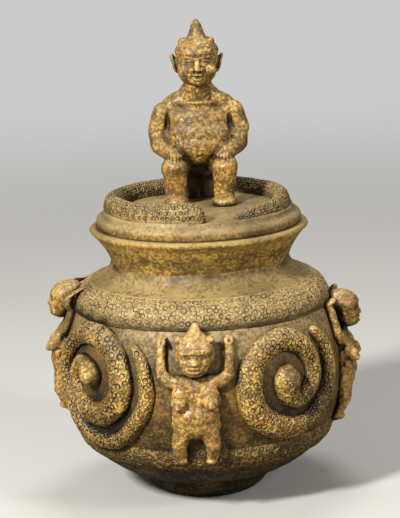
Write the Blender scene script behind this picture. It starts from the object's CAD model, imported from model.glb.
import math

import bmesh
import bpy
import numpy as np
from mathutils import Matrix, Vector
from mathutils.kdtree import KDTree


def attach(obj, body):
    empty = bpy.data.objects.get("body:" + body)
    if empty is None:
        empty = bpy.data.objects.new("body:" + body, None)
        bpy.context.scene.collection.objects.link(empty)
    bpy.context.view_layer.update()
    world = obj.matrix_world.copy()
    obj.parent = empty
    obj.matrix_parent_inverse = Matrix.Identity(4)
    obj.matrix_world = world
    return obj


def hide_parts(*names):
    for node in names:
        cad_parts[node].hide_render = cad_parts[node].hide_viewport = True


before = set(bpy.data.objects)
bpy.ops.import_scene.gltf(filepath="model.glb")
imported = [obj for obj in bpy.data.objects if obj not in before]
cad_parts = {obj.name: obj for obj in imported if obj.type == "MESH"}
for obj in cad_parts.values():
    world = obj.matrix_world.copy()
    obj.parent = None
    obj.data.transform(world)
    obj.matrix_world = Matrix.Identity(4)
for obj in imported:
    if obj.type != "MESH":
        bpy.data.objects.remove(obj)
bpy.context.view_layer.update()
mm = 0.001

# Metres, but for the modelled figures. The jar stands on z = 0 and its front faces -Y.
jarWall = {
    # radius, height, bulge of the arc that ends there, as a share of its chord
    "foot": [(0.045, 0.0, 0), (0.060, 0.019, 0.13)],
    "outer": [(0.060, 0.019, 0), (0.095, 0.0342, 0.06), (0.1195, 0.064, 0.07), (0.130, 0.120, 0.056),
              (0.118, 0.181, 0.06), (0.097, 0.202, 0.05)],
    "neck": [(0.097, 0.202, 0), (0.0845, 0.209, -0.08), (0.083, 0.217, -0.10), (0.0905, 0.2349, -0.05),
             (0.0994, 0.2445, -0.03), (0.098, 0.250, 0.42)],
    # the shown neck has a skirt out over the band, a waist higher up and a thicker lip
    "skirt": [(0.1036, 0.2018, 0), (0.1032, 0.2036, 0.3), (0.0945, 0.2070, -0.06),
              (0.0868, 0.2122, -0.06), (0.0832, 0.2192, -0.10), (0.0850, 0.2270, -0.06),
              (0.0915, 0.2380, -0.04), (0.0994, 0.2478, -0.03), (0.0984, 0.2535, 0.42)],
    "neckInner": [(0.0984, 0.2535, 0), (0.084, 0.2535, 0), (0.084, 0.238, 0), (0.0741, 0.217, 0.05),
                  (0.0766, 0.2056, 0.10), (0.0886, 0.1985, 0.08)],
    "inner": [(0.0886, 0.1985, 0), (0.1095, 0.176, -0.05), (0.121, 0.120, -0.06), (0.1113, 0.069, -0.056),
              (0.0894, 0.0418, -0.07), (0.0578, 0.028, -0.06)],
    "bellyRadius": 0.130,
    "steps": 360,
}
shoulderBand = {
    "low": (0.118, 0.181), "high": (0.097, 0.202), "width": 0.036, "proud": 0.0080, "slant": 0.707,
    "steps": 1300, "across": 68, "overlap": 1.16, "rootShare": 0.4, "rootDepth": 4 * mm,
    "rows": 5, "lowered": 3.2 * mm, "spread": 0.97, "lumps": 0.45 * mm, "seed": 5,
    "lowSoot": 0.8, "lowSootRise": 9 * mm,
}


def meshPiece(name, bm):
    mesh = bpy.data.meshes.new(name)
    bm.to_mesh(mesh)
    bm.free()
    piece = bpy.data.objects.new(name, mesh)
    bpy.context.scene.collection.objects.link(piece)
    return piece


def readPoints(piece, kind="co"):
    points = np.empty(len(piece.data.vertices) * 3)
    piece.data.vertices.foreach_get(kind, points)
    return points.reshape(-1, 3)


def readNormals(piece):
    return readPoints(piece, "normal")


def writePoints(piece, points):
    piece.data.vertices.foreach_set("co", np.ascontiguousarray(points, dtype=np.float32).ravel())
    piece.data.update()


def keepMasks(piece, groove, button=0.0):
    # for each vertex, what the material reads by name: soot in grooves and wear on high spots
    for name, values in (("groove", groove), ("button", button)):
        layer = piece.data.attributes.new(name, "FLOAT", "POINT")
        values = np.clip(values, 0, 1) * np.ones(len(piece.data.vertices))
        layer.data.foreach_set("value", values.astype(np.float32))


def turnOutward(piece):
    # a mirrored shape is inside out until its normals are worked out again
    bm = bmesh.new()
    bm.from_mesh(piece.data)
    bmesh.ops.recalc_face_normals(bm, faces=bm.faces)
    bm.to_mesh(piece.data)
    bm.free()


def shadeSmooth(piece):
    piece.data.polygons.foreach_set("use_smooth", [True] * len(piece.data.polygons))
    piece.data.update()


def ramp(values, start, end):
    # 0 at the start to 1 at the end, and level outside them
    return np.clip((values - start) / (end - start), 0, 1)


def turnOf(points):
    # the angle round the jar, from the front
    return np.arctan2(points[:, 0], -points[:, 1])


def roundJar(radius, turn, height):
    return np.column_stack([radius * np.sin(turn), -radius * np.cos(turn), height])


def arcPoints(outline, spacing):
    # dense (radius, height) points along an outline of lines and arcs
    points = [np.array(outline[0][:2])]
    for start, end in zip(outline[:-1], outline[1:]):
        first, last, bulge = np.array(start[:2]), np.array(end[:2]), end[2]
        chord = np.linalg.norm(last - first)
        count = max(int(math.ceil(chord / spacing)), 1)
        out = np.array([last[1] - first[1], first[0] - last[0]]) / chord
        for share in np.linspace(0, 1, count + 1)[1:]:
            spot = first + (last - first) * share
            if bulge:
                rise = bulge * chord
                radius = (chord * chord / 4 + rise * rise) / (2 * rise)
                along = (share - 0.5) * chord
                spot = spot + out * (math.copysign(math.sqrt(radius * radius - along * along), bulge)
                                     - (radius - rise))
            points.append(spot)
    return np.array(points)


outerLine = np.vstack([arcPoints(jarWall["outer"], mm), arcPoints(jarWall["neck"], mm)[1:]])


def wallRadius(height):
    return np.interp(height, outerLine[:, 1], outerLine[:, 0])


def bedRadius(height):
    # the wall, or the shoulder band where it covers the wall
    band = shoulderBand
    middle = (band["low"][1] + band["high"][1]) / 2
    share = (height - middle) / (band["width"] / 2 * band["slant"])
    return wallRadius(height) + band["proud"] / band["slant"] * np.clip(1 - share * share, 0, None)


def slopeOf(radiusAt, height):
    return (radiusAt(height + mm) - radiusAt(height - mm)) / (2 * mm)


lumpSizes = (1.0, 1.0, 1.9, 1.9, 3.1)


def smoothNoise(points, scale, seed):
    # soft lumps for hand-shaped clay, from a few sines with turned directions, about -1 to 1
    generator = np.random.default_rng(seed)
    total = np.zeros(len(points))
    for size in lumpSizes:
        for _ in range(3):
            direction = generator.normal(size=3)
            direction *= size * 2 * math.pi / (scale * np.linalg.norm(direction))
            total += np.sin(points @ direction + generator.uniform(0, 2 * math.pi)) / size
    return total / len(lumpSizes)


def handWaves(points, *waves):
    # unevenness by hand, from waves of (amount, scale, seed)
    return sum(smoothNoise(points, scale, seed) * amount for amount, scale, seed in waves)


# a hollow reed's end, pressed in by hand all over the serpents and bands
stampTool = {
    "radius": 2.35 * mm, "width": 0.54 * mm, "depth": 0.86 * mm, "pitch": 6.3 * mm, "rowPitch": 5.5 * mm,
    "drift": 0.75 * mm, "sizes": (0.88, 1.12), "missed": 0.03, "sizeShare": 0.4,
    # the pressed faces, the tool's lean and how far it can press one side deeper
    "facing": (0.1, 0.6), "lean": 0.25, "tilt": (0.45, 1.35),
    "lip": 0.60, "lipWidth": 0.55 * mm, "lipPlace": 1.45, "dish": 0.24, "dishShare": 0.55, "dishSoot": 0.22,
    # the lumps under the stamps and the finer ones over these
    "lumpScale": 0.022, "fineScale": 0.007, "fineShare": 0.4,
}


def driftedStamps(rows, count, placeAt, seed, strength=(0.55, 1.0)):
    # staggered rows of stamps, each off its mark by a hand's unevenness
    generator = np.random.default_rng(seed)
    stamps = []
    for row in range(rows):
        for column in range(count):
            drift = generator.normal(size=2) * stampTool["drift"]
            size = stampTool["radius"] * generator.uniform(*stampTool["sizes"])
            force = generator.uniform(*strength)
            place = placeAt(row, column + row / 2, drift)
            if place and generator.random() > stampTool["missed"]:
                stamps.append((*place, size, force))
    return stamps


def pressStamps(piece, stamps, seed, lumps):
    # each stamp leaves a ring groove, a low lip outside it and a shallow dish inside
    tool = stampTool
    points, normals = readPoints(piece), readNormals(piece)
    tree = KDTree(len(points))
    for index, point in enumerate(points):
        tree.insert(point, index)
    tree.balance()
    generator = np.random.default_rng(seed)
    groove, dish, lip = np.zeros((3, len(points)))
    for place, normal, size, strength in stamps:
        sizeShare = size / tool["radius"]
        width = tool["width"] * (1 - tool["sizeShare"] + tool["sizeShare"] * sizeShare)
        found = [index for _, index, _ in tree.find_range(place, size + 3 * width)]
        lean = generator.normal(size=3) * tool["lean"]
        if not found:
            continue
        found = np.array(found)
        axis = np.array(normal)
        offset = points[found] - np.array(place)
        offset -= np.outer(offset @ axis, axis)
        distance = np.linalg.norm(offset, axis=1)
        facing = ramp(normals[found] @ axis, *tool["facing"]) * strength
        tilt = np.clip(1 + offset @ lean / size, *tool["tilt"])
        outside = (distance - size - tool["lipPlace"] * width) / (tool["lipWidth"] * sizeShare)
        groove[found] = np.maximum(groove[found], np.exp(-((distance - size) / width) ** 2) * facing * tilt)
        dish[found] = np.maximum(dish[found], np.exp(-(distance / (size * tool["dishShare"])) ** 2) * facing)
        lip[found] = np.maximum(lip[found], np.exp(-outside ** 2) * facing)
    waves = handWaves(points, (lumps, tool["lumpScale"], seed),
                      (lumps * tool["fineShare"], tool["fineScale"], seed + 1))
    depth = tool["depth"] * (groove - tool["lip"] * lip * (1 - groove) + tool["dish"] * dish)
    writePoints(piece, points + normals * (waves - depth)[:, None])
    keepMasks(piece, np.maximum(groove, dish * tool["dishSoot"]), lip * (1 - groove))


coil = {
    "height": 0.128, "reach": 0.058, "halfWidth": 0.0125, "proud": 0.0100,
    "azimuths": (40.5, 134.0, 226.0, 315.0), "kinds": ("lobed", "long", "lobed", "long"),
    "steps": 800, "round": 72, "sink": 0.0018,
    # turn in degrees, then shares of reach, half width and proud
    "long": [(172, 0.54, 0.54, 0.70), (205, 0.55, 0.66, 0.80), (240, 0.55, 0.82, 0.95),
             (285, 0.55, 0.94, 1.0), (332, 0.565, 0.98, 1.0), (371, 0.575, 1.0, 1.0), (410, 0.62, 0.96, 1.0),
             (450, 0.69, 0.88, 0.95), (493, 0.80, 0.80, 0.90), (540, 0.93, 0.70, 0.85),
             (598, 1.0, 0.64, 0.85), (650, 1.0, 0.64, 0.85), (700, 1.01, 0.62, 0.85),
             (735, 1.02, 0.52, 0.80), (760, 0.98, 0.36, 0.60)],
    "lobed": [(283, 0.35, 0.68, 1.00), (315, 0.40, 0.68, 0.92), (350, 0.45, 0.72, 0.90),
              (390, 0.49, 0.78, 0.92), (430, 0.56, 0.84, 0.96), (470, 0.64, 0.90, 1.0),
              (515, 0.72, 0.94, 1.0), (567, 0.76, 1.0, 1.0), (612, 0.78, 0.92, 1.0), (655, 0.82, 0.74, 0.90),
              (700, 0.90, 0.66, 0.85), (740, 0.91, 0.56, 0.80), (770, 0.89, 0.42, 0.65)],
    # across and up shares of reach, then shares of half width and proud
    "longHead": [(0.10, -0.05, 0.42, 1.80), (0.04, 0.04, 0.70, 1.80), (-0.06, 0.13, 0.76, 1.55),
                 (-0.20, 0.22, 0.64, 1.12), (-0.36, 0.25, 0.52, 0.78)],
    "lobedHead": [(-0.07, 0.26, 0.56, 0.95), (-0.09, 0.10, 0.98, 1.35), (-0.09, -0.06, 1.02, 1.40),
                  (-0.06, -0.22, 0.84, 1.18)],
    # the stamps: length of head without them, rows, the arch's root, its last stamped share and the tail
    "smoothLength": {"long": 0.046, "lobed": 0.012}, "rows": 6, "root": 0.004, "edge": 1.46, "tail": 3 * mm,
    "seeds": {"long": 4, "lobed": 5}, "pressSeed": 31, "lumps": 0.35 * mm,
}


# Spun walls, foot and bands

def spunShell(name, line, steps, closed=False):
    # bends a flat grid round the jar's axis, each of its rows at one (radius, height) of a line
    line = np.vstack([line, line[:1]]) if closed else np.array(line)
    rows = len(line) - 1
    bm = bmesh.new()
    bmesh.ops.create_grid(bm, x_segments=steps, y_segments=rows, size=0.5)
    for vert in bm.verts:
        azimuth = (vert.co.x + 0.5) * 2 * math.pi
        radius, height = line[round((vert.co.y + 0.5) * rows)]
        vert.co = (radius * math.sin(azimuth), -radius * math.cos(azimuth), height)
    bmesh.ops.remove_doubles(bm, verts=bm.verts, dist=mm / 100)
    bmesh.ops.recalc_face_normals(bm, faces=bm.faces)
    piece = meshPiece(name, bm)
    shadeSmooth(piece)
    return piece


foot = {"spacing": 1.5 * mm, "wave": (0.6 * mm, 0.05, 3), "flat": 0.5 * mm}


def makeFoot():
    side = arcPoints(jarWall["foot"], foot["spacing"])
    piece = spunShell("jarFoot", np.vstack([[[0, 0]], side, [[0, side[-1][1]]]]), jarWall["steps"])
    points = readPoints(piece)
    moved = handWaves(points, foot["wave"])
    moved[points[:, 2] < foot["flat"]] = 0
    out = points.copy()
    out[:, 2] = 0
    out /= np.maximum(np.linalg.norm(out, axis=1), mm)[:, None]
    writePoints(piece, points + out * moved[:, None])
    return piece


bowl = {
    "spacings": {"outer": 1.6 * mm, "inner": 4 * mm}, "waves": ((0.5 * mm, 0.07, 11), (0.16 * mm, 0.014, 12)),
    # soot round the coils, by shares of their reach: where the turns start and where it fades,
    # then its level, least and most in the middle and between the turns, less as it goes up
    "turns": (0.42, 0.57), "fade": (1.05, 0.75), "lessUp": 0.8, "middleSoot": (0.42, 0.08, 0.8),
    "turnSoot": (0.95, 0.3, 1.0),
}


def makeBowl():
    outer, inner = (arcPoints(jarWall[side], spacing) for side, spacing in bowl["spacings"].items())
    line = np.vstack([[[0, outer[0][1]]], outer, inner, [[0, inner[-1][1]]]])
    piece = spunShell("jarBowl", line, jarWall["steps"])
    for amount, scale, seed in bowl["waves"]:
        points = readPoints(piece)
        waves = handWaves(points, (amount, scale, seed))
        writePoints(piece, points + readNormals(piece) * waves[:, None])
    points = readPoints(piece)
    shaded = np.zeros(len(points))
    for degrees in coil["azimuths"]:
        turn = (turnOf(points) - math.radians(degrees) + math.pi) % (2 * math.pi) - math.pi
        rise = (points[:, 2] - coil["height"]) / coil["reach"]
        reach = np.hypot(turn * jarWall["bellyRadius"] / coil["reach"], rise)
        between = ramp(reach, *bowl["turns"])
        middle, turns = (np.clip(level - bowl["lessUp"] * rise, least, most)
                         for level, least, most in (bowl["middleSoot"], bowl["turnSoot"]))
        sooted = between * turns + (1 - between) * middle
        shaded = np.maximum(shaded, ramp(reach, *bowl["fade"]) * sooted)
    keepMasks(piece, shaded)
    return piece


neck = {
    "spacings": {"skirt": 1.0 * mm, "neckInner": 3 * mm}, "softened": (0.208, 0.240), "rubs": 30,
    "waves": ((0.55 * mm, 0.045, 21), (0.15 * mm, 0.012, 22)), "insideShare": 0.3,
    "shell": 3.5 * mm, "flatLip": 0.2 * mm,
    # the border of the mottled zone, with its swing round the neck, and the low ridge along it
    "border": 0.2212, "swing": 1.2 * mm, "swings": 3, "borderWave": (1.0 * mm, 0.03, 23),
    "ridge": 0.8 * mm, "ridgeWidth": 1.6 * mm,
    # heights and amounts of soot and wear
    "patchLevel": 0.55, "patchWave": (0.6, 0.02, 24), "lineDrop": 2.4 * mm, "lineWidth": 4.0 * mm,
    "lineSoot": 0.85, "brown": (0.241, 0.233), "brownRise": 2 * mm, "brownSoot": 0.5,
    "golden": (0.234, 0.242), "goldenWear": 0.75, "lipEdge": (0.249, 0.251), "lipWear": 0.3,
}


def makeNeck():
    skirt, inner = (arcPoints(jarWall[side], spacing) for side, spacing in neck["spacings"].items())
    low, high = neck["softened"]
    soft = np.flatnonzero((skirt[:, 1] > low) & (skirt[:, 1] < high))
    for _ in range(neck["rubs"]):
        skirt[soft] = (skirt[soft - 1] + 2 * skirt[soft] + skirt[soft + 1]) / 4
    piece = spunShell("neckCollar", np.vstack([skirt, inner[1:]]), jarWall["steps"], closed=True)
    points = readPoints(piece)
    radius, height = np.hypot(points[:, 0], points[:, 1]), points[:, 2]
    outside = radius > wallRadius(height) - neck["shell"]
    border = (neck["border"] + neck["swing"] * np.sin(neck["swings"] * turnOf(points))
              + handWaves(points, neck["borderWave"]))
    ridge = np.exp(-((height - border) / neck["ridgeWidth"]) ** 2) * neck["ridge"]
    lumps = handWaves(points, *neck["waves"])
    move = np.where(outside, lumps - ridge, lumps * neck["insideShare"])
    move[height > jarWall["skirt"][-1][1] - neck["flatLip"]] = 0
    # a dark line under the border and brown above it
    patchy = np.clip(neck["patchLevel"] + handWaves(points, neck["patchWave"]), 0, 1)
    line = np.exp(-((height - border + neck["lineDrop"]) / neck["lineWidth"]) ** 2) * neck["lineSoot"]
    brown = ramp(height, *neck["brown"]) * ramp(height, border, border + neck["brownRise"])
    brown *= neck["brownSoot"]
    # golden below the lip, paler on the lip's worn edge
    bright = ramp(height, *neck["golden"]) * neck["goldenWear"]
    bright += ramp(height, *neck["lipEdge"]) * neck["lipWear"]
    keepMasks(piece, np.maximum(line, brown) * patchy * outside, bright * outside)
    points[:, :2] *= ((radius + move) / radius)[:, None]
    writePoints(piece, points)
    return piece


def shoulderBandPlace(offset, azimuth):
    # a place on the band's arch and its normal, offset along the arch from its crown
    band = shoulderBand
    low, high = (Vector((radius, 0, height)) for radius, height in (band["low"], band["high"]))
    along = (high - low).normalized()
    out = Vector((along.z, 0, -along.x))
    radius = ((band["width"] / 2) ** 2 + band["proud"] ** 2) / (2 * band["proud"])
    normal = out * math.cos(offset / radius) + along * math.sin(offset / radius)
    place = (low + high) / 2 + out * (band["proud"] - radius) + normal * radius
    spin = Matrix.Rotation(azimuth, 3, "Z")
    return spin @ place, spin @ normal


def makeShoulderBand():
    band = shoulderBand
    reach = band["width"] / 2 * band["overlap"]
    section = []
    for offset in np.linspace(reach, -reach, band["across"]):
        place, _ = shoulderBandPlace(offset, 0)
        section.append((place.x, place.z))
    for share in (-band["rootShare"], band["rootShare"]):
        place, normal = shoulderBandPlace(share * band["width"], 0)
        place -= normal * (band["proud"] + band["rootDepth"])
        section.append((place.x, place.z))
    piece = spunShell("shoulderBand", np.array(section), band["steps"], closed=True)
    count = round(2 * math.pi * band["low"][0] * band["spread"] / stampTool["pitch"])

    def placeAt(row, column, drift):
        offset = (row - (band["rows"] - 1) / 2) * stampTool["rowPitch"] + drift[1] - band["lowered"]
        return shoulderBandPlace(offset, column * 2 * math.pi / count + drift[0] / band["low"][0])

    stamps = driftedStamps(band["rows"], count, placeAt, band["seed"])
    pressStamps(piece, stamps, band["seed"], band["lumps"])
    # the band's foot is sooted too
    low = band["low"][1]
    soot = ramp(readPoints(piece)[:, 2], low + band["lowSootRise"], low) * band["lowSoot"]
    groove = np.empty(len(soot))
    piece.data.attributes["groove"].data.foreach_get("value", groove)
    piece.data.attributes["groove"].data.foreach_set("value", np.maximum(groove, soot))
    return piece


lowerBand = {
    "bottom": 0.043, "top": 0.069, "proud": 0.0026, "steps": 1150, "across": 48,
    # the arch over the wall: its rise past proud, how full it is and how far its edges are sunk
    "rise": 1.4 * mm, "fullness": 0.7, "sunk": 1.0 * mm, "roots": ((-3 * mm, 1 * mm), (-3 * mm, 2 * mm)),
    "rowHeights": (0.0475, 0.0530, 0.0585, 0.0645), "spread": 1.03, "strength": (0.75, 1.0),
    "lumps": 0.3 * mm, "seed": 8,
}


def makeLowerBand():
    band = lowerBand
    section = []
    for share in np.linspace(0, 1, band["across"]):
        height = band["bottom"] + (band["top"] - band["bottom"]) * share
        slope = slopeOf(wallRadius, height)
        normal = np.array([1, -slope]) / math.hypot(1, slope)
        lift = (band["proud"] + band["rise"]) * math.sin(share * math.pi) ** band["fullness"] - band["sunk"]
        section.append(np.array([wallRadius(height), height]) + normal * lift)
    section += [edge + np.array(root) for edge, root in zip((section[-1], section[0]), band["roots"])]
    piece = spunShell("lowerBand", np.array(section), band["steps"], closed=True)
    count = round(2 * math.pi * wallRadius(band["bottom"]) / stampTool["pitch"] * band["spread"])

    def placeAt(row, column, drift):
        height = band["rowHeights"][row] + drift[1]
        normal = Vector((1, 0, -slopeOf(wallRadius, height))).normalized()
        place = Vector((wallRadius(height), 0, height)) + normal * band["proud"]
        spin = Matrix.Rotation(column * 2 * math.pi / count + drift[0] / wallRadius(height), 3, "Z")
        return spin @ place, spin @ normal

    stamps = driftedStamps(len(band["rowHeights"]), count, placeAt, band["seed"], band["strength"])
    pressStamps(piece, stamps, band["seed"], band["lumps"])
    return piece


print("stage: walls and bands")
jarFoot = makeFoot()
jarBowl = makeBowl()
neckCollar = makeNeck()
shoulderBandPiece = makeShoulderBand()
lowerBandPiece = makeLowerBand()

# Serpents: straight rolls of clay laid along a path
roll = {"pathSteps": 24, "archShare": 0.80, "archPower": 0.9, "leastEnd": 0.0004}


def smoothRows(rows, steps):
    # more rows on the smooth curve through the given ones
    rows = np.array(rows, dtype=float)
    padded = np.vstack([rows[:1], rows, rows[-1:]])
    dense = []
    for index in range(len(rows) - 1):
        before, first, last, after = padded[index:index + 4]
        lead, trail = (last - before) / 2, (after - first) / 2
        for part in np.linspace(0, 1, steps, endpoint=False):
            square, cube = part ** 2, part ** 3
            dense.append((2 * cube - 3 * square + 1) * first + (cube - 2 * square + part) * lead
                         + (3 * square - 2 * cube) * last + (cube - square) * trail)
    dense.append(rows[-1])
    return np.array(dense)


def pathLengths(rows):
    return np.concatenate([[0], np.cumsum(np.hypot(*np.diff(rows[:, :2], axis=0).T))])


def evenRows(rows, count):
    # rows at even steps along a smooth path
    dense = smoothRows(rows, roll["pathSteps"])
    length = pathLengths(dense)
    spots = np.linspace(0, length[-1], count)
    return np.column_stack([np.interp(spots, length, column) for column in dense.T])


def straightRoll(name, steps, roundSteps):
    # straight tube along X of unit length and radius, closed at both ends
    bm = bmesh.new()
    ends = [bm.verts.new((0, 1, 0)), bm.verts.new((1, 1, 0))]
    edge = bm.edges.new(ends)
    bmesh.ops.subdivide_edges(bm, edges=[edge], cuts=steps - 1)
    bmesh.ops.spin(bm, geom=list(bm.verts) + list(bm.edges), cent=(0, 0, 0), axis=(1, 0, 0),
                   angle=2 * math.pi, steps=roundSteps, use_merge=True, use_duplicate=False)
    rims = [each for each in bm.edges if len(each.link_faces) == 1]
    bmesh.ops.holes_fill(bm, edges=rims, sides=0)
    bmesh.ops.recalc_face_normals(bm, faces=bm.faces)
    return meshPiece(name, bm)


def rollSpots(piece):
    # each vertex's share of the length, and its angle round the section: 0 to pi over the arch
    # on top, and 0 to pi again below it
    points = readPoints(piece)
    arch = roll["archShare"]
    turn = np.arctan2(points[:, 2], points[:, 1]) / (2 * math.pi)
    turn = np.where(turn < -1e-6, turn + 1, np.clip(turn, 0, None))
    onTop = turn <= arch
    return points[:, 0], np.where(onTop, turn / arch, (turn - arch) / (1 - arch)) * math.pi, onTop


def rollSection(angle, onTop, halfWidth, proud, sink):
    across = np.where(onTop, -np.cos(angle), np.cos(angle)) * halfWidth
    arch = (proud + sink) * np.sin(angle) ** roll["archPower"] - sink
    return across, np.where(onTop, arch, -sink - sink * np.sin(angle))


def endRound(share, length, halfWidth):
    # rounds off both ends of a roll over about a half width
    near = np.minimum(share, 1 - share) * length / np.maximum(halfWidth, mm)
    return np.sqrt(np.clip(1 - (1 - np.clip(near, 0, 1)) ** 2, roll["leastEnd"], 1))


def coilRows(kind):
    # across, height, half width and proud along the coil's middle
    spots = [(across, up, *shares) for across, up, *shares in coil[kind + "Head"]]
    for degrees, reach, *shares in coil[kind]:
        turn = math.radians(degrees)
        spots.append((reach * math.cos(turn), reach * math.sin(turn), *shares))
    sizes = np.array([coil["reach"], coil["reach"], coil["halfWidth"], coil["proud"]])
    return np.array(spots) * sizes + np.array([0, coil["height"], 0, 0])


def layOnWall(flatAcross, height, lift, azimuth):
    # across is measured round the belly from the piece's own azimuth
    turn = azimuth + flatAcross / jarWall["bellyRadius"]
    slope = slopeOf(bedRadius, height)
    scale = np.hypot(1, slope)
    return roundJar(bedRadius(height) + lift / scale, turn, height - lift * slope / scale)


def coilPlaces(kind):
    # places and normals of the stamps over the arch
    rows = smoothRows(coilRows(kind), 2)
    lengths = pathLengths(rows)
    smooth = coil["smoothLength"][kind]

    def onPath(spot):
        return [np.interp(spot, lengths, column) for column in rows.T]

    def flatPoint(across, height, *_):
        return Vector(layOnWall(np.array([across]), np.array([height]), np.zeros(1), 0.0)[0])

    def placeAt(row, column, drift):
        spot = smooth + column * stampTool["pitch"] + drift[0]
        offset = (row - (coil["rows"] - 1) / 2) * stampTool["rowPitch"] + drift[1]
        across, height, halfWidth, proud = onPath(spot)
        rise = proud + coil["root"]
        radius = (halfWidth ** 2 + rise ** 2) / (2 * rise)
        beyond = abs(offset) + stampTool["radius"] > radius * coil["edge"]
        if beyond or not 0 < spot < lengths[-1] - coil["tail"]:
            return None
        travel = flatPoint(*onPath(spot + mm)) - flatPoint(*onPath(spot - mm))
        turn = across / jarWall["bellyRadius"]
        up = Vector((math.sin(turn), -math.cos(turn), -slopeOf(bedRadius, height))).normalized()
        side = up.cross(travel).normalized()
        normal = up * math.cos(offset / radius) + side * math.sin(offset / radius)
        return flatPoint(across, height) + up * (proud - radius) + normal * radius, normal

    count = int((lengths[-1] - smooth) / stampTool["pitch"])
    return driftedStamps(coil["rows"], count, placeAt, coil["seeds"][kind])


def makeCoil(number):
    kind = coil["kinds"][number]
    azimuth = math.radians(coil["azimuths"][number])
    piece = straightRoll("coiledSerpent" + str(number + 1), coil["steps"], coil["round"])
    rows = evenRows(coilRows(kind), coil["steps"] + 1)
    share, angle, onTop = rollSpots(piece)
    index = np.clip(np.round(share * coil["steps"]).astype(int), 0, coil["steps"])
    centre = rows[:, :2]
    travel = np.gradient(centre, axis=0)
    travel /= np.linalg.norm(travel, axis=1)[:, None]
    side = np.column_stack([travel[:, 1], -travel[:, 0]])
    halfWidth, proud = rows[index, 2], rows[index, 3]
    endings = endRound(share, pathLengths(rows)[-1], halfWidth)
    across, lift = rollSection(angle, onTop, halfWidth * endings, proud * endings, coil["sink"])
    flat = centre[index] + side[index] * across[:, None]
    writePoints(piece, layOnWall(flat[:, 0], flat[:, 1], lift, azimuth))
    shadeSmooth(piece)
    spin = Matrix.Rotation(azimuth, 3, "Z")
    stamps = [(spin @ place, spin @ normal, *press) for place, normal, *press in coilPlaces(kind)]
    pressStamps(piece, stamps, coil["pressSeed"] + number, coil["lumps"])
    return piece


print("stage: coiled serpents")
coils = [makeCoil(number) for number in range(4)]

lid = {
    "outline": [(0.0, 0.257, 0), (0.0745, 0.257, 0), (0.0745, 0.2535, 0), (0.0938, 0.2536, 0),
                (0.0946, 0.2560, 0.2), (0.0925, 0.2632, 0.22), (0.088, 0.2690, -0.15), (0.0, 0.2690, 0)],
    "ring": [(0.0745, 0.240, 0), (0.0825, 0.240, 0), (0.0825, 0.2540, 0), (0.0745, 0.2540, 0)],
    "spacings": {"outline": 1.6 * mm, "ring": 2 * mm}, "top": 0.268, "turn": 4.4, "steps": 360,
    "waves": ((0.5 * mm, 0.06, 41), (0.14 * mm, 0.013, 42)), "waved": (0.2545, 0.2565),
    # a worn edge, blotches, and browner on the right
    "edge": (0.0885, 0.0915), "edgeWear": 0.55, "blotchLevel": 0.5, "blotchWave": (0.5, 0.02, 43),
    "brown": (-0.005, 0.055), "brownSoot": 0.25, "blotchSoot": 0.35, "edgeSoot": 0.5,
}


def makeLid():
    outline, ringLine = (arcPoints(lid[side], spacing) for side, spacing in lid["spacings"].items())
    plate = spunShell("lidPlate", outline, lid["steps"])
    points, normals = readPoints(plate), readNormals(plate)
    lumps = handWaves(points, *lid["waves"]) * ramp(points[:, 2], *lid["waved"])
    writePoints(plate, points + normals * lumps[:, None])
    edge = ramp(np.hypot(points[:, 0], points[:, 1]), *lid["edge"])
    blotch = np.clip(lid["blotchLevel"] + handWaves(points, lid["blotchWave"]), 0, 1)
    brown = ramp(points[:, 0], *lid["brown"]) * (lid["brownSoot"] + lid["blotchSoot"] * blotch)
    keepMasks(plate, brown * (1 - edge * lid["edgeSoot"]), edge * lid["edgeWear"] * blotch)
    ring = spunShell("lidLocatingRing", ringLine[:-1], lid["steps"], closed=True)
    return plate, ring


ringSerpent = {
    "radius": 0.0785, "halfWidth": 0.0088, "height": 0.0150, "sink": 1.0 * mm, "endShare": 0.8,
    "head": 5.0, "sweep": 341.0, "steps": 1080, "round": 72,
    # along, then shares of half width and height
    "shares": [(0.0, 0.95, 1.00), (0.03, 1.08, 1.26), (0.08, 1.06, 1.18), (0.16, 1.02, 1.05),
               (0.3, 1.0, 1.0), (0.6, 1.0, 1.0), (0.82, 0.95, 0.90), (0.93, 0.80, 0.68), (1.0, 0.5, 0.35)],
    # amount, times round and start of each sway, which grow in over the head's twelfth
    "sways": ((0.9 * mm, 3, 1), (0.5 * mm, 7, 0)), "swayParts": 12,
    "pitch": 0.0044, "columns": 108, "stampShare": 0.70, "strength": (0.8, 1.0), "leanDrift": 0.6,
    "leans": (-1.30, -0.95, -0.62, -0.30, 0.02, 0.34, 0.66, 0.98, 1.30), "lumps": 0.30 * mm, "seed": 51,
}


def ringSerpentTurn(share):
    return math.radians(ringSerpent["head"] + lid["turn"]) - math.radians(ringSerpent["sweep"]) * share


def ringSerpentSize(share):
    # half width and height, rounded off at both ends
    along, widths, heights = np.array(ringSerpent["shares"]).T
    halfWidth = ringSerpent["halfWidth"] * np.interp(share, along, widths)
    height = ringSerpent["height"] * np.interp(share, along, heights)
    length = math.radians(ringSerpent["sweep"]) * ringSerpent["radius"]
    ending = endRound(share, length, halfWidth * ringSerpent["endShare"])
    return halfWidth * ending, height * ending


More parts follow.
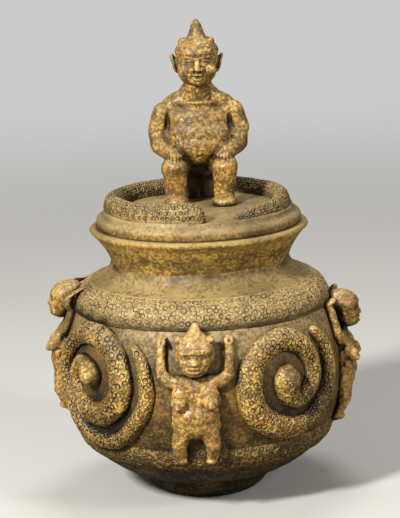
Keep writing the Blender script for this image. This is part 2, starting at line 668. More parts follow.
def makeLidSerpent():
    serpent = ringSerpent
    piece = straightRoll("lidSerpent", serpent["steps"], serpent["round"])
    share, angle, onTop = rollSpots(piece)
    across, lift = rollSection(angle, onTop, *ringSerpentSize(share), serpent["sink"])
    turn = ringSerpentTurn(share)
    sway = sum(amount * np.sin(turn * times + start) for amount, times, start in serpent["sways"])
    radius = serpent["radius"] + sway * np.clip(share * serpent["swayParts"], 0, 1) + across
    writePoints(piece, roundJar(radius, turn, lid["top"] + lift))
    turnOutward(piece)
    shadeSmooth(piece)

    def placeAt(row, column, drift):
        spot = (column - row // 2 + 0.5 + drift[0] / serpent["pitch"]) / (serpent["columns"] + 0.5)
        lean = serpent["leans"][row] + drift[1] / serpent["height"] * serpent["leanDrift"]
        width, rise = ringSerpentSize(spot)
        out = Vector(roundJar(1, ringSerpentTurn(spot), 0)[0])
        place = out * (serpent["radius"] + width * math.sin(lean))
        place.z = lid["top"] + rise * max(math.cos(lean), 0) ** roll["archPower"]
        return place, (out * math.sin(lean) * rise + Vector((0, 0, math.cos(lean) * width))).normalized()

    stamps = driftedStamps(len(serpent["leans"]), serpent["columns"], placeAt, serpent["seed"],
                           serpent["strength"])
    stamps = [(*spot, size * serpent["stampShare"], strength) for *spot, size, strength in stamps]
    pressStamps(piece, stamps, serpent["seed"], serpent["lumps"])
    return piece


print("stage: lid")
lidPlate, lidRing = makeLid()
lidSerpent = makeLidSerpent()


# Modelled figures: masses joined, then worked over by small presses.
# Their tables are in millimetres above the soles, or above the lid for the seated figure:
# x across, y forward. A list of (x, y, z, radius) is a limb, and a ball is centre, radii, turn.
both, once = (-1, 1), (1,)


def clayBall(bm, centre, radii, turn=(0, 0, 0)):
    place = (Matrix.Translation(centre) @ Matrix.Rotation(turn[2], 4, "Z") @ Matrix.Rotation(turn[1], 4, "Y")
             @ Matrix.Rotation(turn[0], 4, "X") @ Matrix.Diagonal((*radii, 1)))
    bmesh.ops.create_icosphere(bm, subdivisions=3, radius=1, matrix=place)


def clayLimb(bm, rows):
    # rounded limb through (x, y, z, radius) rows
    rows = [(Vector(row[:3]), row[3]) for row in rows]
    for (first, firstRadius), (last, lastRadius) in zip(rows[:-1], rows[1:]):
        run = last - first
        turn = run.to_track_quat("Z", "Y").to_matrix().to_4x4()
        place = Matrix.Translation((first + last) / 2) @ turn
        bmesh.ops.create_cone(bm, cap_ends=True, segments=24, radius1=firstRadius, radius2=lastRadius,
                              depth=run.length, matrix=place)
    for centre, radius in rows:
        clayBall(bm, centre, (radius, radius, radius))


def joinClay(name, groups, voxel, rubs):
    # one skin over all the masses, with the joins rubbed soft
    bm = bmesh.new()
    for side, mass in [(side, mass) for sides, masses in groups for side in sides for mass in masses]:
        if isinstance(mass, list):
            clayLimb(bm, [(side * x, y, z, radius) for x, y, z, radius in mass])
        else:
            (x, y, z), radii, (pitch, yaw, spin) = (*mass, (0, 0, 0))[:3]
            clayBall(bm, (side * x, y, z), radii, (pitch, side * yaw, side * spin))
    piece = meshPiece(name, bm)
    remesh = piece.modifiers.new("skin", "REMESH")
    remesh.mode = "VOXEL"
    remesh.voxel_size = voxel
    rub = piece.modifiers.new("rub", "SMOOTH")
    rub.factor = 0.5
    rub.iterations = rubs
    depsgraph = bpy.context.evaluated_depsgraph_get()
    mesh = bpy.data.meshes.new_from_object(piece.evaluated_get(depsgraph))
    old = piece.data
    piece.modifiers.clear()
    piece.data = mesh
    bpy.data.meshes.remove(old)
    mesh.name = name
    shadeSmooth(piece)
    return piece


def pressClay(piece, groups):
    # pushes the clay in round each (centre, radii, depth, soot), or out where depth is negative
    points, normals = readPoints(piece), readNormals(piece)
    hollow = np.zeros(len(points))
    for side, press in [(side, press) for sides, presses in groups for side in sides for press in presses]:
        (x, y, z), radii, depth, soot = press
        offset = (points - np.array((side * x, y, z))) / np.array(radii)
        weight = np.clip(1 - np.sum(offset * offset, axis=1), 0, 1) ** 2
        points -= normals * (depth * weight)[:, None]
        hollow = np.maximum(hollow, weight * soot)
    return points, normals, hollow


relief = {
    "voxel": 0.8, "rubs": 5, "crested": (True, False, False, False),
    "azimuths": (0.0, 88.0, 180.0, 271.0), "rises": (0.0, 0.010, 0.006, 0.025), "soleHeight": 0.057,
    "lean": 0.022, "waves": ((0.35, 9, 60), (0.14, 3.0, 70)),
    # the head stands nearly upright in front of the sloping wall, from the neck up
    "neck": 0.083, "neckBlend": 6 * mm, "headHalfWidth": 24 * mm, "upright": 0.8,
}
reliefMasses = [
    (both, [
        # leg and foot, breast, arm, hand and ear
        [(11.0, 2, 34, 9.5), (15.4, 6, 18, 6.8), (14.4, 3.5, 2, 5.2)], ((13.6, 5, 1.5), (5.2, 7, 3.4)),
        ((12.4, 7.0, 66.0), (8.0, 6.0, 11.0)), ((13.2, 11.4, 61.0), (6.4, 6.4, 6.6), (-0.5, 0, 0)),
        ((13.8, 16.0, 58.6), (3.2, 3.0, 3.2)), ((12.0, 6.6, 52.0), (8.0, 5.6, 8.0)),
        [(16, 2.0, 77, 6.8), (24.0, 2.6, 79, 6.0), (29.6, 3.0, 84.5, 5.0), (30.8, 3.4, 98, 4.4),
         (30.6, 3.6, 108, 4.3)],
        ((30.6, 4.2, 113), (5.2, 4.4, 5.4)), ((15.0, 7.5, 102), (2.4, 3.4, 4.6), (0, 0.18, 0))]),
    (once, [
        # trunk, then head, jaw and nose
        ((0, 2, 38), (22.5, 11.0, 14)), ((0, 2, 46), (21.5, 12.5, 13)), ((0, 1, 60), (22.5, 9.0, 16)),
        ((0, 1, 73), (21.5, 8.0, 9)), [(-15, 1, 78, 6.5), (15, 1, 78, 6.5)],
        ((0, 5.5, 101), (14.6, 14.5, 15.5)), ((0, 8.5, 93), (11.0, 11.5, 9.0)),
        [(0, 18.2, 104.5, 1.8), (0, 20.0, 98.6, 2.6)]]),
    (both, [((2.6, 18.8, 97.8), (2.0, 1.9, 1.7))]),
    # cap with a rolled brow
    (once, [((0, 4.8, 107.5), (17.0, 16.4, 12.6)), ((0, 7.5, 108.2), (15.8, 13.6, 3.0))]),
]
crestMasses = [
    (once, [[(0, 6.0, 113, 12.4), (0, 6.6, 119.0, 8.2), (0, 6.6, 124.5, 5.2), (0, 6.0, 129.6, 3.0)]]),
    (both, [((14.0, 7, 117.4), (3.6, 4.6, 3.4))]),
]
reliefPresses = [
    (both, [
        # eyes, cheeks, nostrils and ears
        ((5.9, 18, 103.6), (5.6, 7, 3.9), 1.7, 0.7), ((5.9, 17.5, 103.2), (3.9, 7, 2.1), -1.3, 0),
        ((5.9, 18, 102.9), (3.8, 7, 0.9), 0.6, 0.9), ((8.6, 16, 97.6), (5.0, 8, 4.5), -0.8, 0),
        ((2.2, 20, 96.2), (1.3, 4, 1.2), 0.7, 0.8), ((16.8, 11, 102), (2.0, 4, 3.4), 1.2, 0.8),
        # under the breasts, the palms and the knees
        ((13.0, 11, 53.0), (8.5, 8, 2.4), 0.3, 0.5), ((30.6, 8.4, 113.4), (2.9, 3.5, 2.9), 1.5, 0.9),
        ((13.4, 10, 17), (5.5, 6, 6), -0.9, 0)]),
    (once, [
        # soot alone on the chest and one arm, then lips, mouth and chin
        ((0, 8, 79), (34, 16, 12), 0, 0.5), ((31, 4, 96), (9, 14, 24), 0, 0.6),
        ((0, 20, 94.2), (6.6, 8, 1.7), -1.0, 0), ((0, 20, 90.4), (5.8, 8, 1.6), -1.1, 0),
        ((0, 20, 92.3), (6.4, 8, 1.2), 0.9, 0.9), ((0, 18, 87.0), (5, 8, 3.0), -0.7, 0),
        # navel, chest and the cap's brow
        ((0, 13, 47), (2.0, 6, 2.0), 1.2, 0.8), ((0, 10, 60), (3.2, 8, 9), 0.9, 0.5),
        ((0, 20, 106.2), (15, 8, 1.7), 0.7, 0.8), ((0, 18, 111.5), (12, 8, 1.6), 0.4, 0.3)]),
]


def makeReliefFigure(number):
    masses = reliefMasses + crestMasses if relief["crested"][number] else reliefMasses
    figure = joinClay("reliefFigure" + str(number + 1), masses, relief["voxel"], relief["rubs"])
    points, normals, hollow = pressClay(figure, reliefPresses)
    # leans a little to one side as it rises
    points[:, 0] += points[:, 2] * relief["lean"]
    waves = [(amount, scale, seed + number) for amount, scale, seed in relief["waves"]]
    points = (points + normals * handWaves(points, *waves)[:, None]) * mm
    sole = relief["soleHeight"] + relief["rises"][number]
    across, lift, height = points[:, 0], points[:, 1], points[:, 2] + sole
    neckHeight = relief["neck"] + sole
    above = ramp(height, neckHeight, neckHeight + relief["neckBlend"])
    above = np.where(np.abs(across) < relief["headHalfWidth"], above * above * (3 - 2 * above), 0)
    upright = wallRadius(height) + relief["upright"] * (wallRadius(neckHeight) - wallRadius(height))
    radius = bedRadius(height) * (1 - above) + upright * above + lift
    turn = math.radians(relief["azimuths"][number]) + across / jarWall["bellyRadius"]
    writePoints(figure, roundJar(radius, turn, height))
    turnOutward(figure)
    shadeSmooth(figure)
    keepMasks(figure, hollow)
    return figure


print("stage: relief figures")
figures = [makeReliefFigure(number) for number in range(4)]

seat = {
    "shift": 0.0025, "back": 0.027, "lean": 0.012, "sunk": 1.5 * mm, "waves": ((0.45, 14, 0), (0.16, 4.0, 1)),
    # voxel size, rubs and seed of each piece
    "body": (0.9, 6, 81), "head": (0.6, 5, 85), "stool": (1.2, 8, 91),
    # the black gap under the belly, in millimetres
    "gapHalfWidth": 15, "gapTop": (42, 36), "gapFront": 24,
    "fingers": (-5.1, -1.7, 1.7, 5.1), "toes": (-5.4, -1.8, 1.8, 5.4),
}
seatedMasses = [
    (both, [
        # arm, hand, thigh, shin and chest
        [(21, -2, 91, 9.0), (33, -1.5, 85, 10.0), (37.6, 0, 70, 9.6), (37.0, 3, 55, 8.6),
         (30, 14, 51.5, 7.6), (24, 23, 49, 7.0)],
        ((22.5, 25, 47), (7.6, 7.5, 6.0)), [(16, -4, 38, 12.0), (21.5, 12, 37, 12.4), (23.5, 22, 36, 12.4)],
        [(23.4, 21, 36, 11.8), (22.6, 20.5, 20, 10.4), (22.2, 19, 6, 9.8)],
        ((13, 16.0, 78), (6.0, 2.4, 5.4))]),
    (once, [
        # feet, one further forward, then the trunk from the seat up
        ((-22.6, 22.5, 4.0), (11.6, 14.0, 8.4)), ((22.6, 28.5, 4.0), (11.6, 14.0, 8.4)),
        ((0, -12, 33), (25, 14, 12)), ((0, 3, 50), (20.0, 22, 14)), ((0, 4, 56), (29.5, 24, 17)),
        ((0, 3, 64), (32.5, 23, 22)), ((0, 0, 80), (31.5, 19, 15)), ((0, -1, 68), (30.5, 18.5, 30)),
        [(-22, -2, 90.5, 9.0), (22, -2, 90.5, 9.0)], ((0, 0, 94), (20, 15, 9))]),
    (both, [[(5, 0, 105, 10.5), (13, -1, 98, 9.6), (25, -2, 92.5, 8.6)]]),
]
seatedPresses = [
    # gaps between the fingers laid over the knee, and between the toes
    (both, [((23.0 + gap, 31, 46), (0.9, 8, 7), 0.6, 0.5) for gap in seat["fingers"]]),
    (both, [((22.2 + gap, 37, 3), (0.9, 7, 6), 0.4, 0.2) for gap in seat["toes"]]),
    (both, [
        ((13.5, 19.5, 79), (2.2, 4, 2.2), -1.2, 0), ((29.0, 13, 78), (3.0, 16, 19), 1.9, 0.8),
        ((23, 33, 38), (6.5, 6, 5), -1.3, 0), ((16, 26, 46), (10, 8, 3), 1.0, 0.7)]),
    (once, [
        # navel and chest, then soot alone where belly and chest have lost their gilt look
        ((0, 26, 50), (3.0, 6, 3.0), -1.6, 0), ((0, 26, 46.6), (3.6, 6, 1.2), 0.9, 0.7),
        ((0, 16, 70), (2.4, 10, 16), 0.5, 0.3), ((0, 18, 70), (36, 26, 32), 0, 0.34),
        # collar ridge
        ((0, 10, 95.5), (20, 16, 2.6), -1.5, 0), ((0, 10, 99.5), (17, 16, 2.0), 0.9, 0.6)]),
]
headMasses = [
    (once, [
        # neck, skull, jaw, chin and nose
        [(0, -1, 84, 15.5), (0, 1, 98, 14.2), (0, 4, 112, 13.6)], ((0, 6, 136), (19.8, 20.5, 21)),
        ((0, 9, 125), (18.0, 17.5, 15)), ((0, 20, 117), (7.5, 6.0, 5.0)),
        [(0, 24.6, 138, 2.3), (0, 27.4, 130, 3.4)], ((0, 28.2, 128.4), (3.4, 3.4, 3.0))]),
    (both, [
        # nostril, cheek and ear
        ((3.7, 26.2, 127.6), (2.7, 2.7, 2.3)), ((11.0, 18.8, 127), (7.0, 6.4, 7.0)),
        ((20.3, 4.5, 131.0), (2.8, 6.0, 8.6), (0, 0.30, -0.35)),
        ((22.3, 3.5, 136.5), (2.2, 4.0, 4.2), (0, 0.35, 0))]),
    # cap with a rolled brow, two upright corners and a spike
    (once, [((0, 5.0, 143), (20.4, 21.6, 11.5)), ((0, 6.6, 142.6), (19.9, 20.8, 3.6)),
            ((0, 4.5, 149), (17.0, 17.5, 6.5))]),
    (both, [((13.4, 7.5, 151.5), (3.4, 5.0, 4.2)), ((9.0, -8.0, 150.5), (4.0, 4.0, 4.4))]),
    (once, [[(0, 3.4, 151, 10.2), (0, 3, 155.5, 8.2), (0, 2.6, 160.5, 6.6), (0, 2.2, 165.5, 5.1),
             (0, 1.8, 169.6, 3.2)], [(0, 10, 150, 2.4), (0, 6.5, 158, 2.1), (0, 4.0, 168.5, 1.7)]]),
]
headPresses = [
    (both, [
        # eyes closed to a calm slit, with lids, brows, nostrils, folds and ears
        ((8.3, 24, 135.2), (7.0, 9, 4.9), 2.1, 0.7), ((8.3, 23, 134.7), (5.4, 9, 3.0), -2.0, 0),
        ((8.3, 24, 134.0), (5.2, 9, 0.95), 0.9, 1.0), ((8.6, 23, 138.9), (6.8, 8, 1.6), -0.9, 0),
        ((3.2, 28, 125.6), (1.7, 5, 1.4), 1.0, 0.9), ((5.6, 26, 124.4), (1.5, 6, 4.5), 0.7, 0.6),
        ((24.0, 7.5, 131.5), (3.6, 4.2, 5.4), 1.5, 0.8)]),
    (once, [
        # lips, mouth and chin, then the cap's brow
        ((0, 26, 123.0), (7.2, 9, 1.9), -1.3, 0), ((0, 26, 118.8), (6.4, 9, 1.9), -1.5, 0),
        ((0, 26, 121.0), (7.4, 9, 1.1), 1.3, 1.0), ((0, 26, 116.4), (5.5, 8, 1.3), 0.7, 0.5),
        ((0, 28, 124.9), (1.1, 6, 1.6), 0.4, 0.3), ((0, 26, 139.6), (19, 9, 1.5), 0.8, 0.8)]),
    (both, [((12, 22, 147.5), (2.4, 7, 2.4), 0.7, 0.5), ((6, 22, 147.5), (2.4, 7, 2.4), 0.7, 0.5)]),
]
# two stubs side by side behind the legs
stoolMasses = [(both, [[(7, -19, 2, 8.5), (7, -19, 24, 8.5)]])]


def bellyGap(points):
    across, forward, height = points.T
    middle = np.exp(-(across / seat["gapHalfWidth"]) ** 4)
    return middle * ramp(height, *seat["gapTop"]) * (forward < seat["gapFront"])


def makeSeated(name, masses, presses, sizes, shade=None):
    voxel, rubs, seed = sizes
    piece = joinClay(name, masses, voxel, rubs)
    points, normals, hollow = pressClay(piece, presses)
    if shade:
        hollow = np.maximum(hollow, shade(points))
    waves = [(amount, scale, seed + step) for amount, scale, step in seat["waves"]]
    points += normals * handWaves(points, *waves)[:, None]
    # leans a little to the viewer's right as it rises
    points[:, 0] += points[:, 2] * seat["lean"]
    points *= mm
    across, forward = points[:, 0] + seat["shift"], points[:, 1] - seat["back"]
    turn = math.radians(lid["turn"])
    placed = np.column_stack([across * math.cos(turn) + forward * math.sin(turn),
                              across * math.sin(turn) - forward * math.cos(turn),
                              np.maximum(points[:, 2], -seat["sunk"]) + lid["top"]])
    writePoints(piece, placed)
    turnOutward(piece)
    shadeSmooth(piece)
    keepMasks(piece, hollow)
    return piece


print("stage: seated figure")
seatedBody = makeSeated("seatedBody", seatedMasses, seatedPresses, seat["body"], bellyGap)
seatedHead = makeSeated("seatedHead", headMasses, headPresses, seat["head"])
stoolBlock = makeSeated("stoolBlock", stoolMasses, [], seat["stool"])


# Materials

def addNode(tree, kind, inputs, **settings):
    # laid out in columns of eight, in the order they are made
    node = tree.nodes.new(kind)
    node.location = (200 * (len(tree.nodes) // 8), -250 * (len(tree.nodes) % 8))
    for name, value in settings.items():
        setattr(node, name, value)
    for socket, value in inputs.items():
        # an output is linked, and a number or colour is set on the socket itself
        if isinstance(value, bpy.types.NodeSocket):
            tree.links.new(value, node.inputs[socket])
        else:
            node.inputs[socket].default_value = value
    return node


def noiseNode(tree, source, scale, detail, roughness):
    inputs = {"Vector": source, "Scale": scale, "Detail": detail, "Roughness": roughness}
    return addNode(tree, "ShaderNodeTexNoise", inputs).outputs["Fac"]


def rangeNode(tree, source, low, high, first=0.0, last=1.0):
    inputs = {"Value": source, "From Min": low, "From Max": high, "To Min": first, "To Max": last}
    return addNode(tree, "ShaderNodeMapRange", inputs, interpolation_type="SMOOTHSTEP").outputs["Result"]


def mathNode(tree, operation, first, second, clamp=False):
    inputs = {0: first, 1: second}
    return addNode(tree, "ShaderNodeMath", inputs, operation=operation, use_clamp=clamp).outputs[0]


def mixNode(tree, factor, first, second):
    inputs = {"Factor": factor, 6: first, 7: second}
    return addNode(tree, "ShaderNodeMix", inputs, data_type="RGBA").outputs[2]


def emptyTree(owner):
    owner.use_nodes = True
    owner.node_tree.nodes.clear()
    return owner.node_tree


# what a finish can set, each with its value where a finish doesn't
clayInputs = {
    "Ground": (0.2, 0.13, 0.07), "Ochre": (0.4, 0.26, 0.1), "Soot": (0.016, 0.0105, 0.0045),
    "Dust": (0.44, 0.325, 0.150), "Red": (0.50, 0.150, 0.028),
    "Ochre amount": 0.90, "Soot amount": 1.0, "Dust amount": 0.5, "Red amount": 0.35, "Low soot": 0.6,
    "Cover": 1.25, "Groove": 0.0, "Button": 0.0, "Gloss": 0.3,
}
clayNoises = {
    # scale, detail and roughness
    "broad": (16, 3, 0.55), "patch": (62, 5, 0.65), "speck": (330, 6, 0.72), "grit": (1300, 3, 0.65),
    "rust": (70, 4, 0.6),
}
clayRanges = {
    # from and to, and what these become if it isn't 0 and 1
    "broadTone": (0.32, 0.68, 0.72, 1.25), "patchTone": (0.36, 0.64, 0.68, 1.32),
    "gritTone": (0.34, 0.66, 0.70, 1.35), "speckled": (0.475, 0.580), "raised": (0.505, 0.555),
    "wornPatch": (0.38, 0.60, 0.2, 1.0), "redPatch": (0.50, 0.62), "level": (0.11, 0.19, 0.10, 1.0),
    "upward": (-0.10, 0.55), "dustPatch": (0.40, 0.55, 0.20, 1.0), "creased": (0.497, 0.455),
    "covered": (0.90, 0.40), "filled": (0.36, 0.58, 0.50, 1.15), "low": (0.135, 0.040),
    "lowPatch": (0.60, 0.44, 0.45, 1.0), "darkPatch": (0.46, 0.66, 0.0, 0.45),
    "glossPatch": (0.35, 0.60, 0.4, 1.0),
}
clayShares = {
    "speckInMix": 0.72, "patchInMix": 0.28, "buttonWear": 0.75, "wear": 0.85, "redSpeckle": 0.5,
    "crease": 0.7, "roughness": 0.74, "goldenShine": 0.20, "dustRoughness": 0.2,
    "speckBump": 0.60, "gritBump": 0.30, "patchBump": 0.6, "bump": 0.5, "bumpHeight": 0.8 * mm,
    "hollowReach": 15 * mm,
}


def makeClayGroup():
    # fired clay: mottled ground, golden and red wear, dust on top, soot in hollows and low down
    group = bpy.data.node_groups.new("firedClay", "ShaderNodeTree")
    for name, value in clayInputs.items():
        kind, start = ("Color", (*value, 1)) if isinstance(value, tuple) else ("Float", value)
        socket = group.interface.new_socket(name=name, in_out="INPUT", socket_type="NodeSocket" + kind)
        socket.default_value = start
    for name, kind in (("Color", "Color"), ("Roughness", "Float"), ("Height", "Float")):
        group.interface.new_socket(name=name, in_out="OUTPUT", socket_type="NodeSocket" + kind)

    def times(first, second, clamp=False):
        return mathNode(group, "MULTIPLY", first, second, clamp)

    def plus(first, second, clamp=False):
        return mathNode(group, "ADD", first, second, clamp)

    def most(first, second, clamp=False):
        return mathNode(group, "MAXIMUM", first, second, clamp)

    def less(first, second):
        return mathNode(group, "SUBTRACT", first, second)

    def span(name, source):
        return rangeNode(group, source, *clayRanges[name])

    share = clayShares
    given = addNode(group, "NodeGroupInput", {}).outputs
    coordinates = addNode(group, "ShaderNodeTexCoord", {}).outputs["Object"]
    geometry = addNode(group, "ShaderNodeNewGeometry", {}).outputs
    facing = addNode(group, "ShaderNodeSeparateXYZ", {0: geometry["Normal"]}).outputs["Z"]
    height = addNode(group, "ShaderNodeSeparateXYZ", {0: coordinates}).outputs["Z"]
    hidden = addNode(group, "ShaderNodeAmbientOcclusion", {"Distance": share["hollowReach"]}, samples=8)
    noises = (noiseNode(group, coordinates, *noise) for noise in clayNoises.values())
    broad, patch, speck, grit, rust = noises
    # ground varied in broad patches, in blotches and in grains
    tone = times(times(span("broadTone", broad), span("patchTone", patch)), span("gritTone", grit))
    ground = addNode(group, "ShaderNodeVectorMath", {0: given["Ground"], "Scale": tone}, operation="SCALE")
    # golden speckle
    mixed = plus(times(speck, share["speckInMix"]), times(patch, share["patchInMix"]))
    speckled = span("speckled", mixed)
    color = mixNode(group, times(speckled, given["Ochre amount"], True), ground.outputs[0], given["Ochre"])
    # worn high places from the shape itself and from the stamps' lips
    worn = most(span("raised", geometry["Pointiness"]), times(given["Button"], share["buttonWear"]))
    worn = times(worn, span("wornPatch", speck))
    color = mixNode(group, times(worn, share["wear"]), color, given["Ochre"])
    rusty = times(plus(worn, times(speckled, share["redSpeckle"])), span("redPatch", rust))
    color = mixNode(group, times(rusty, given["Red amount"], True), color, given["Red"])
    # dust settles on faces that look up, thicker towards the top
    dusty = times(times(span("upward", facing), span("level", height)), span("dustPatch", mixed))
    dusty = times(dusty, given["Dust amount"], True)
    color = mixNode(group, dusty, color, given["Dust"])
    # soot in grooves, creases and hollows, in patches, and over the low wall
    creased = times(span("creased", geometry["Pointiness"]), share["crease"])
    sunk = most(creased, times(given["Groove"], span("filled", patch)))
    sunk = most(sunk, times(span("covered", hidden.outputs["AO"]), given["Cover"]))
    low = times(times(span("low", height), given["Low soot"]), span("lowPatch", mixed))
    sooty = times(plus(sunk, span("darkPatch", broad)), given["Soot amount"], True)
    color = mixNode(group, most(sooty, low, True), color, given["Soot"])
    # smoother where it is golden or glossy, rougher under dust
    rough = less(share["roughness"], times(speckled, share["goldenShine"]))
    rough = less(rough, times(given["Gloss"], span("glossPatch", patch)))
    rough = plus(rough, times(dusty, share["dustRoughness"]), True)
    bumps = plus(times(speck, share["speckBump"]), times(grit, share["gritBump"]))
    bumps = plus(bumps, times(patch, share["patchBump"]))
    addNode(group, "NodeGroupOutput", {"Color": color, "Roughness": rough, "Height": bumps})
    return group


clayGroup = makeClayGroup()


def clayMaterial(name, settings):
    material = bpy.data.materials.new(name)
    tree = emptyTree(material)
    inputs = {}
    for socket, value in settings.items():
        inputs[socket] = (*value, 1) if isinstance(value, tuple) else value
    for socket in ("Groove", "Button"):
        mask = addNode(tree, "ShaderNodeAttribute", {}, attribute_name=socket.lower())
        inputs[socket] = mask.outputs["Fac"]
    clay = addNode(tree, "ShaderNodeGroup", inputs, node_tree=clayGroup).outputs
    bumps = addNode(tree, "ShaderNodeBump", {
        "Strength": clayShares["bump"], "Distance": clayShares["bumpHeight"], "Height": clay["Height"]})
    shader = addNode(tree, "ShaderNodeBsdfPrincipled", {
        "Base Color": clay["Color"], "Roughness": clay["Roughness"], "Normal": bumps.outputs["Normal"]})
    addNode(tree, "ShaderNodeOutputMaterial", {"Surface": shader.outputs["BSDF"]})
    return material


clays = {
    "wallClay": {
        "Ground": (0.140, 0.082, 0.020), "Ochre": (0.400, 0.238, 0.048), "Soot": (0.023, 0.0165, 0.0085),
        "Dust": (0.50, 0.380, 0.175), "Ochre amount": 0.80, "Soot amount": 0.95, "Dust amount": 1.0,
        "Red amount": 0.3, "Low soot": 1.0, "Cover": 0.6, "Gloss": 0.20},
    "neckClay": {
        "Ground": (0.185, 0.108, 0.026), "Ochre": (0.800, 0.520, 0.115), "Soot": (0.052, 0.033, 0.010),
        "Dust": (0.40, 0.300, 0.132), "Soot amount": 0.90, "Dust amount": 0.9, "Cover": 0.6, "Gloss": 0.28},
    "bandClay": {
        "Ground": (0.230, 0.140, 0.040), "Ochre": (0.720, 0.490, 0.150), "Dust": (0.62, 0.480, 0.230),
        "Ochre amount": 0.75, "Soot amount": 0.90, "Dust amount": 0.62, "Low soot": 0.78, "Gloss": 0.15},
    "serpentClay": {
        "Ground": (0.215, 0.122, 0.030), "Ochre": (1.000, 0.660, 0.180), "Soot": (0.010, 0.0065, 0.003),
        "Dust": (0.56, 0.420, 0.190), "Dust amount": 0.62, "Red amount": 0.85, "Low soot": 0.45,
        "Cover": 1.05, "Gloss": 0.25},
    "figureClay": {
        "Ground": (0.185, 0.105, 0.027), "Ochre": (0.770, 0.485, 0.125), "Ochre amount": 0.95,
        "Dust amount": 0.35, "Red amount": 0.90, "Low soot": 0.40, "Gloss": 0.35},
    "lidClay": {
        "Ground": (0.200, 0.118, 0.036), "Ochre": (0.620, 0.400, 0.115), "Dust": (0.43, 0.320, 0.145),
        "Soot amount": 0.85, "Dust amount": 0.90, "Cover": 0.7, "Gloss": 0.25},
    "lidSerpentClay": {
        "Ground": (0.190, 0.115, 0.034), "Ochre": (0.600, 0.410, 0.125), "Dust": (0.43, 0.325, 0.145),
        "Ochre amount": 0.80, "Red amount": 0.40, "Gloss": 0.15},
    "reliefClay": {
        "Ground": (0.290, 0.160, 0.045), "Ochre": (0.900, 0.590, 0.175), "Dust": (0.60, 0.440, 0.200),
        "Red": (0.72, 0.250, 0.055), "Ochre amount": 0.95, "Soot amount": 0.85, "Red amount": 1.0,
        "Low soot": 0.35, "Gloss": 0.35},
    "stoolClay": {
        "Ground": (0.060, 0.038, 0.016), "Ochre": (0.30, 0.215, 0.10), "Dust": (0.16, 0.11, 0.05),
        "Ochre amount": 0.15, "Red amount": 0.0, "Cover": 1.0, "Gloss": 0.05},
}
finishes = {name: clayMaterial(name, settings) for name, settings in clays.items()}

print("stage: bodies and finishes")
figureParts = ("_torso", "_head", "_cap", "_arms", "_legs")
dressing = [
    # piece, body, finish, slot and the nodes that it stands for
    (jarFoot, "jar", "wallClay", "brown_clay", "foot"),
    (jarBowl, "jar", "wallClay", "brown_clay", "jar_bowl"),
    (neckCollar, "jar", "neckClay", "burnished_clay", "neck_collar"),
    (shoulderBandPiece, "jar", "bandClay", "dusty_clay", "shoulder_band"),
    (lowerBandPiece, "jar", "bandClay", "brown_clay", "lower_band"),
    *((piece, "jar", "serpentClay", "serpent_clay", "coiled_serpent_" + str(number))
      for number, piece in enumerate(coils, 1)),
    *((piece, "jar", "reliefClay", "figure_clay", *("figure_" + str(number) + part for part in figureParts))
      for number, piece in enumerate(figures, 1)),
    (lidPlate, "lid", "lidClay", "dusty_clay", "lid_plate"),
    (lidRing, "lid", "lidClay", "dusty_clay", "lid_locating_ring"),
    (lidSerpent, "lid", "lidSerpentClay", "serpent_clay", "lid_serpent"),
    (stoolBlock, "lid", "stoolClay", "figure_clay", "stool"),
    (seatedBody, "lid", "figureClay", "figure_clay", "seated_torso", "seated_left_arm", "seated_right_arm",
     "seated_left_leg", "seated_right_leg"),
    (seatedHead, "lid", "figureClay", "figure_clay", "seated_head", "seated_cap"),
]
for piece, body, finish, slot, *nodes in dressing:
    piece.data.materials.clear()
    piece.data.materials.append(finishes[finish])
    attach(piece, body)
    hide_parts(*nodes)

# Stage, light and camera
studio = {
    "floor": 12.0, "floorColor": (0.66, 0.66, 0.65, 1), "floorRoughness": 0.9,
    "bounce": (0.16, 0.145, 0.11, 1), "backdrop": (0.60, 0.60, 0.60, 1), "near": 0.5, "far": 2.6,
    "background": 0.60, "fill": 0.148, "fillColor": (1.0, 0.965, 0.90, 1),
    "distance": 2.05, "azimuth": 4.4, "height": 0.660, "aim": 0.218, "lens": 155.7, "sensor": 36, "roll": 2.2,
}
lamps = {
    # place, aim, size, watts and colour
    "keyLamp": ((-1.15, -1.80, 1.60), (0, 0, 0.22), 0.36, 86, (1.0, 0.965, 0.90)),
    "sideLamp": ((1.6, -1.1, 1.2), (0, 0, 0.25), 0.5, 17, (1.0, 0.96, 0.90)),
    "topLamp": ((0.1, 0.5, 2.0), (0, 0, 0.30), 0.8, 12, (1.0, 0.99, 0.97)),
}


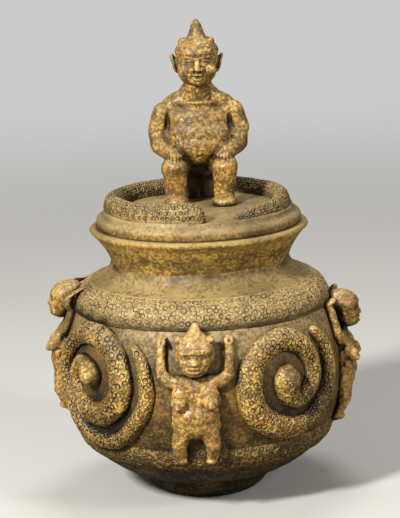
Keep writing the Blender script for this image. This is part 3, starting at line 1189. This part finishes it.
def makeFloor():
    bm = bmesh.new()
    bmesh.ops.create_grid(bm, x_segments=1, y_segments=1, size=studio["floor"] / 2)
    floor = meshPiece("studioFloor", bm)
    material = bpy.data.materials.new("studioFloor")
    tree = emptyTree(material)
    # pale to the camera, but it throws little light back under the jar
    toCamera = addNode(tree, "ShaderNodeLightPath", {}).outputs["Is Camera Ray"]
    pale = mixNode(tree, toCamera, studio["bounce"], studio["floorColor"])
    shader = addNode(tree, "ShaderNodeBsdfPrincipled", {
        "Base Color": pale, "Roughness": studio["floorRoughness"]})
    # far from the jar the floor turns into a plain backdrop, for the camera alone
    coordinates = addNode(tree, "ShaderNodeTexCoord", {}).outputs["Object"]
    distance = addNode(tree, "ShaderNodeVectorMath", {0: coordinates}, operation="LENGTH").outputs["Value"]
    seen = mathNode(tree, "MULTIPLY", rangeNode(tree, distance, studio["near"], studio["far"]), toCamera)
    glow = addNode(tree, "ShaderNodeEmission", {"Color": studio["backdrop"]})
    mixed = addNode(tree, "ShaderNodeMixShader", {0: seen, 1: shader.outputs[0], 2: glow.outputs[0]})
    addNode(tree, "ShaderNodeOutputMaterial", {"Surface": mixed.outputs[0]})
    floor.data.materials.append(material)


def makeWorld():
    world = bpy.data.worlds.new("studio")
    bpy.context.scene.world = world
    tree = emptyTree(world)
    paths = addNode(tree, "ShaderNodeLightPath", {}).outputs
    seen = mathNode(tree, "MAXIMUM", paths["Is Camera Ray"], paths["Is Transmission Ray"])
    soft = addNode(tree, "ShaderNodeBackground", {"Color": studio["fillColor"], "Strength": studio["fill"]})
    plain = addNode(tree, "ShaderNodeBackground", {"Color": (1, 1, 1, 1), "Strength": studio["background"]})
    mixed = addNode(tree, "ShaderNodeMixShader", {0: seen, 1: soft.outputs[0], 2: plain.outputs[0]})
    addNode(tree, "ShaderNodeOutputWorld", {"Surface": mixed.outputs[0]})


def aimedObject(name, data, place, aim, roll=0.0):
    each = bpy.data.objects.new(name, data)
    bpy.context.scene.collection.objects.link(each)
    each.location = place
    each.rotation_mode = "QUATERNION"
    look = (Vector(aim) - Vector(place)).to_track_quat("-Z", "Y")
    each.rotation_quaternion = look @ Matrix.Rotation(math.radians(-roll), 3, "Z").to_quaternion()
    return each


def softLamp(name, place, aim, size, power, color):
    light = bpy.data.lights.new(name, "AREA")
    light.shape = "DISK"
    light.size = size
    light.energy = power
    light.color = color
    aimedObject(name, light, place, aim)


def makeCamera():
    azimuth = math.radians(studio["azimuth"])
    camera = bpy.data.cameras.new("camera")
    camera.lens = studio["lens"]
    camera.sensor_width = studio["sensor"]
    place = roundJar(studio["distance"], azimuth, studio["height"])[0]
    bpy.context.scene.camera = aimedObject("camera", camera, place, (0, 0, studio["aim"]), studio["roll"])


makeFloor()
makeWorld()
for name, settings in lamps.items():
    softLamp(name, *settings)
makeCamera()
bpy.context.scene.view_settings.view_transform = "Standard"

print("stage: finished")
